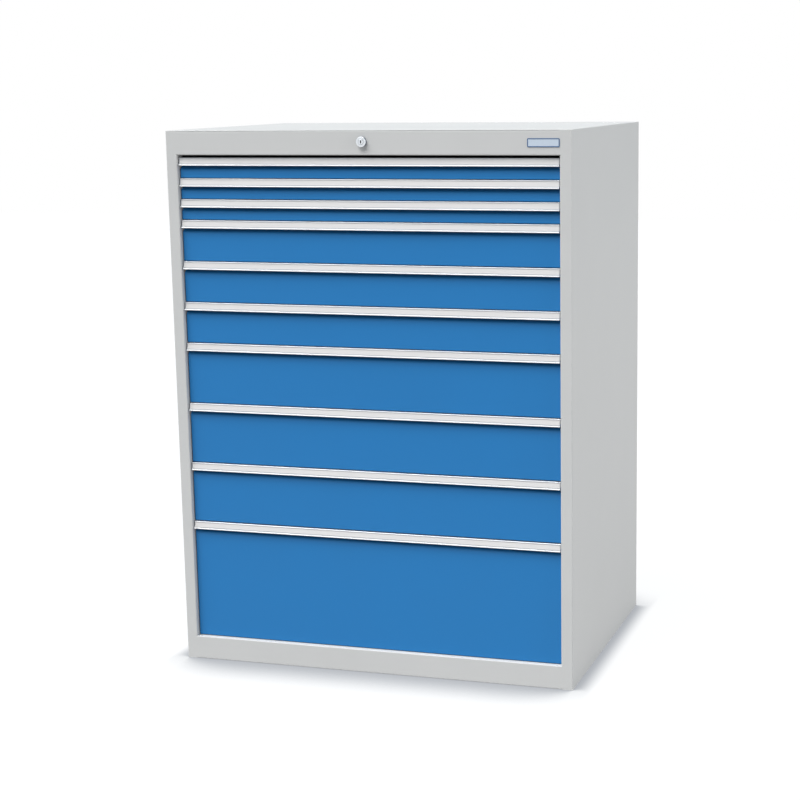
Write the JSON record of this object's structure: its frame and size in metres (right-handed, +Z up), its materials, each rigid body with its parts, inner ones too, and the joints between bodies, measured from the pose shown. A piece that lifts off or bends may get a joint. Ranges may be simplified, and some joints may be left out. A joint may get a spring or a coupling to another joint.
{
  "type": "drawer cabinet",
  "caption": "Floor-standing sheet-steel drawer cabinet with full-width drawers on telescopic slides, a grip strip along each drawer front and one cylinder lock in the head rail.",
  "frame": {"origin": "on the floor, below the middle of the cabinet's plan", "axes": "+Z up, +X to the right seen from the front, the drawers open towards -Y"},
  "size_m": [1.005, 0.744, 1.32],
  "materials": {
    "grey_paint": "light grey powder coat, semi-matt",
    "tray_paint": "light grey powder coat, semi-matt, with zinc-plated rails on the sides",
    "blue_paint": "blue powder coat, semi-matt",
    "handle_aluminium": "satin anodised",
    "zinc_steel": "bright zinc plated",
    "lock_chrome": "polished",
    "nameplate_plastic": "smooth, bare"
  },
  "bodies": {
    "cabinet": {"right_side_panel": "grey_paint", "left_side_panel": "grey_paint", "top_panel": "grey_paint", "head_rail": "grey_paint", "plinth_rail": "grey_paint", "floor_pan": "grey_paint", "back_wall": "grey_paint", "slotted_uprights": "zinc_steel", "right_cabinet_rails": "zinc_steel", "left_cabinet_rails": "zinc_steel", "lock_housing": "lock_chrome", "lock_nut": "zinc_steel", "lock_guides": "zinc_steel", "nameplate": "nameplate_plastic"},
    "drawer_01": {"drawer_01_tray": "tray_paint", "drawer_01_front": "blue_paint", "drawer_01_handle": "handle_aluminium"},
    "drawer_01_rails": {"drawer_01_middle_rails": "zinc_steel"},
    "drawer_02": {"drawer_02_tray": "tray_paint", "drawer_02_front": "blue_paint", "drawer_02_handle": "handle_aluminium"},
    "drawer_02_rails": {"drawer_02_middle_rails": "zinc_steel"},
    "drawer_03": {"drawer_03_tray": "tray_paint", "drawer_03_front": "blue_paint", "drawer_03_handle": "handle_aluminium"},
    "drawer_03_rails": {"drawer_03_middle_rails": "zinc_steel"},
    "drawer_04": {"drawer_04_tray": "tray_paint", "drawer_04_front": "blue_paint", "drawer_04_handle": "handle_aluminium"},
    "drawer_04_rails": {"drawer_04_middle_rails": "zinc_steel"},
    "drawer_05": {"drawer_05_tray": "tray_paint", "drawer_05_front": "blue_paint", "drawer_05_handle": "handle_aluminium"},
    "drawer_05_rails": {"drawer_05_middle_rails": "zinc_steel"},
    "drawer_06": {"drawer_06_tray": "tray_paint", "drawer_06_front": "blue_paint", "drawer_06_handle": "handle_aluminium"},
    "drawer_06_rails": {"drawer_06_middle_rails": "zinc_steel"},
    "drawer_07": {"drawer_07_tray": "tray_paint", "drawer_07_front": "blue_paint", "drawer_07_handle": "handle_aluminium"},
    "drawer_07_rails": {"drawer_07_middle_rails": "zinc_steel"},
    "drawer_08": {"drawer_08_tray": "tray_paint", "drawer_08_front": "blue_paint", "drawer_08_handle": "handle_aluminium"},
    "drawer_08_rails": {"drawer_08_middle_rails": "zinc_steel"},
    "drawer_09": {"drawer_09_tray": "tray_paint", "drawer_09_front": "blue_paint", "drawer_09_handle": "handle_aluminium"},
    "drawer_09_rails": {"drawer_09_middle_rails": "zinc_steel"},
    "drawer_10": {"drawer_10_tray": "tray_paint", "drawer_10_front": "blue_paint", "drawer_10_handle": "handle_aluminium"},
    "drawer_10_rails": {"drawer_10_middle_rails": "zinc_steel"},
    "lock_cylinder": {"lock_plug": "lock_chrome", "lock_cam": "zinc_steel"},
    "locking_bar": {"lock_crossbar": "zinc_steel", "lock_bar": "zinc_steel"}
  },
  "joints": [
    {"name": "drawer_01_slide", "type": "slide", "parent": "cabinet", "child": "drawer_01", "axis": [0, -1, 0], "range_m": [0, 0.59]},
    {"name": "drawer_01_rails_slide", "type": "slide", "parent": "cabinet", "child": "drawer_01_rails", "axis": [0, -1, 0], "range_m": [0, 0.295]},
    {"name": "drawer_02_slide", "type": "slide", "parent": "cabinet", "child": "drawer_02", "axis": [0, -1, 0], "range_m": [0, 0.59]},
    {"name": "drawer_02_rails_slide", "type": "slide", "parent": "cabinet", "child": "drawer_02_rails", "axis": [0, -1, 0], "range_m": [0, 0.295]},
    {"name": "drawer_03_slide", "type": "slide", "parent": "cabinet", "child": "drawer_03", "axis": [0, -1, 0], "range_m": [0, 0.59]},
    {"name": "drawer_03_rails_slide", "type": "slide", "parent": "cabinet", "child": "drawer_03_rails", "axis": [0, -1, 0], "range_m": [0, 0.295]},
    {"name": "drawer_04_slide", "type": "slide", "parent": "cabinet", "child": "drawer_04", "axis": [0, -1, 0], "range_m": [0, 0.59]},
    {"name": "drawer_04_rails_slide", "type": "slide", "parent": "cabinet", "child": "drawer_04_rails", "axis": [0, -1, 0], "range_m": [0, 0.295]},
    {"name": "drawer_05_slide", "type": "slide", "parent": "cabinet", "child": "drawer_05", "axis": [0, -1, 0], "range_m": [0, 0.59]},
    {"name": "drawer_05_rails_slide", "type": "slide", "parent": "cabinet", "child": "drawer_05_rails", "axis": [0, -1, 0], "range_m": [0, 0.295]},
    {"name": "drawer_06_slide", "type": "slide", "parent": "cabinet", "child": "drawer_06", "axis": [0, -1, 0], "range_m": [0, 0.59]},
    {"name": "drawer_06_rails_slide", "type": "slide", "parent": "cabinet", "child": "drawer_06_rails", "axis": [0, -1, 0], "range_m": [0, 0.295]},
    {"name": "drawer_07_slide", "type": "slide", "parent": "cabinet", "child": "drawer_07", "axis": [0, -1, 0], "range_m": [0, 0.59]},
    {"name": "drawer_07_rails_slide", "type": "slide", "parent": "cabinet", "child": "drawer_07_rails", "axis": [0, -1, 0], "range_m": [0, 0.295]},
    {"name": "drawer_08_slide", "type": "slide", "parent": "cabinet", "child": "drawer_08", "axis": [0, -1, 0], "range_m": [0, 0.59]},
    {"name": "drawer_08_rails_slide", "type": "slide", "parent": "cabinet", "child": "drawer_08_rails", "axis": [0, -1, 0], "range_m": [0, 0.295]},
    {"name": "drawer_09_slide", "type": "slide", "parent": "cabinet", "child": "drawer_09", "axis": [0, -1, 0], "range_m": [0, 0.59]},
    {"name": "drawer_09_rails_slide", "type": "slide", "parent": "cabinet", "child": "drawer_09_rails", "axis": [0, -1, 0], "range_m": [0, 0.295]},
    {"name": "drawer_10_slide", "type": "slide", "parent": "cabinet", "child": "drawer_10", "axis": [0, -1, 0], "range_m": [0, 0.59]},
    {"name": "drawer_10_rails_slide", "type": "slide", "parent": "cabinet", "child": "drawer_10_rails", "axis": [0, -1, 0], "range_m": [0, 0.295]},
    {"name": "lock_turn", "type": "hinge", "parent": "cabinet", "child": "lock_cylinder", "pos_m": [0, -0.368, 1.293], "axis": [0, 1, 0], "range_deg": [0, 90]},
    {"name": "locking_bar_slide", "type": "slide", "parent": "cabinet", "child": "locking_bar", "axis": [1, 0, 0], "range_m": [0, 0.013]}
  ],
  "couplings": [
    {"joint": "drawer_01_rails_slide", "follows": "drawer_01_slide", "ratio": 0.5},
    {"joint": "drawer_02_rails_slide", "follows": "drawer_02_slide", "ratio": 0.5},
    {"joint": "drawer_03_rails_slide", "follows": "drawer_03_slide", "ratio": 0.5},
    {"joint": "drawer_04_rails_slide", "follows": "drawer_04_slide", "ratio": 0.5},
    {"joint": "drawer_05_rails_slide", "follows": "drawer_05_slide", "ratio": 0.5},
    {"joint": "drawer_06_rails_slide", "follows": "drawer_06_slide", "ratio": 0.5},
    {"joint": "drawer_07_rails_slide", "follows": "drawer_07_slide", "ratio": 0.5},
    {"joint": "drawer_08_rails_slide", "follows": "drawer_08_slide", "ratio": 0.5},
    {"joint": "drawer_09_rails_slide", "follows": "drawer_09_slide", "ratio": 0.5},
    {"joint": "drawer_10_rails_slide", "follows": "drawer_10_slide", "ratio": 0.5},
    {"joint": "lock_turn", "follows": "locking_bar_slide", "rad_per_m": 120.83}
  ]
}
